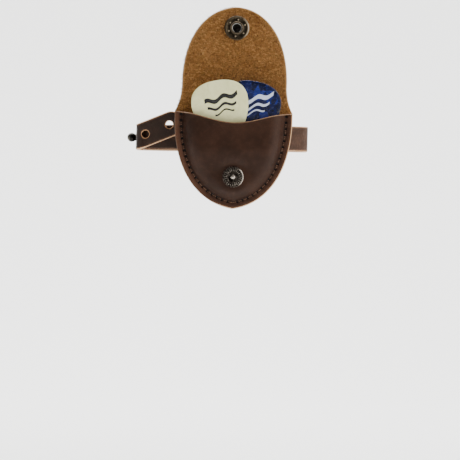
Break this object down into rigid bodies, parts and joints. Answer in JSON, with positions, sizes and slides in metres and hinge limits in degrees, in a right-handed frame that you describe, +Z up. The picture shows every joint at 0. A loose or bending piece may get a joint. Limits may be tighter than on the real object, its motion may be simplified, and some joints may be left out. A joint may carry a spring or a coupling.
{
  "type": "pick holder",
  "caption": "Leather pick pouch that straps round a guitar headstock, with a folding snap flap, a button-stud strap end and two picks held in the pocket.",
  "frame": {"origin": "middle of the space that the headstock fills, in line with the pouch's middle", "axes": "+Z up the pouch towards the open flap, -Y out of the pouch's front, +X to the right seen from the front"},
  "size_m": [0.0832, 0.0364, 0.093],
  "materials": {
    "chocolate_leather": "smooth waxed grain",
    "suede": "raw suede inside, smooth brown grain outside",
    "strap_leather": "smooth oiled grain, raw tan edges",
    "thread": "waxed twist",
    "antique_brass": "antique, rubbed bright on raised rims",
    "dark_brass": "blackened",
    "spring_steel": "plain",
    "cream_plastic": "gloss cream",
    "blue_pearl_plastic": "gloss pearl"
  },
  "bodies": {
    "pouch": {"back_panel": "suede", "front_pocket": "chocolate_leather", "seam_thread_front": "thread", "seam_thread_back": "thread", "snap_stud": "antique_brass", "snap_post": "antique_brass", "strap_band": "strap_leather", "button_stud": "dark_brass", "button_stud_screw": "dark_brass", "rivet_cap_left": "antique_brass", "rivet_cap_right": "antique_brass", "rivet_post_left": "antique_brass", "rivet_post_right": "antique_brass"},
    "fold": {"flap_fold": "suede"},
    "flap": {"flap_panel": "suede", "snap_cap": "antique_brass", "snap_socket": "antique_brass", "snap_spring": "spring_steel"},
    "white_pick": {"pick_white": "cream_plastic"},
    "blue_pick": {"pick_blue": "blue_pearl_plastic"},
    "opening_end": {"strap_end": "strap_leather"}
  },
  "joints": [
    {"name": "flap_lower_crease", "type": "hinge", "parent": "pouch", "child": "fold", "pos_m": [0, -0.0183, 0.0114], "axis": [1, 0, 0], "range_deg": [0, 95]},
    {"name": "flap_upper_crease", "type": "hinge", "parent": "fold", "child": "flap", "pos_m": [0, -0.01681, 0.01987], "axis": [1, 0, 0], "range_deg": [0, 95]},
    {"name": "white_pick_slide", "type": "slide", "parent": "pouch", "child": "white_pick", "axis": [0.1736, 0.0678, -0.9825], "range_m": [0, 0.02]},
    {"name": "blue_pick_slide", "type": "slide", "parent": "pouch", "child": "blue_pick", "axis": [-0.1736, 0.0678, -0.9825], "range_m": [0, 0.022]},
    {"name": "strap_opening", "type": "hinge", "parent": "pouch", "child": "opening_end", "pos_m": [-0.0432, 0.0078, 0], "axis": [0, 0, -1], "range_deg": [0, 100]}
  ],
  "couplings": [
    {"joint": "flap_upper_crease", "follows": "flap_lower_crease", "ratio": 1},
    {"joint": "white_pick_slide", "follows": "flap_lower_crease", "m_per_rad": 0.012062},
    {"joint": "blue_pick_slide", "follows": "flap_lower_crease", "m_per_rad": 0.013268}
  ]
}
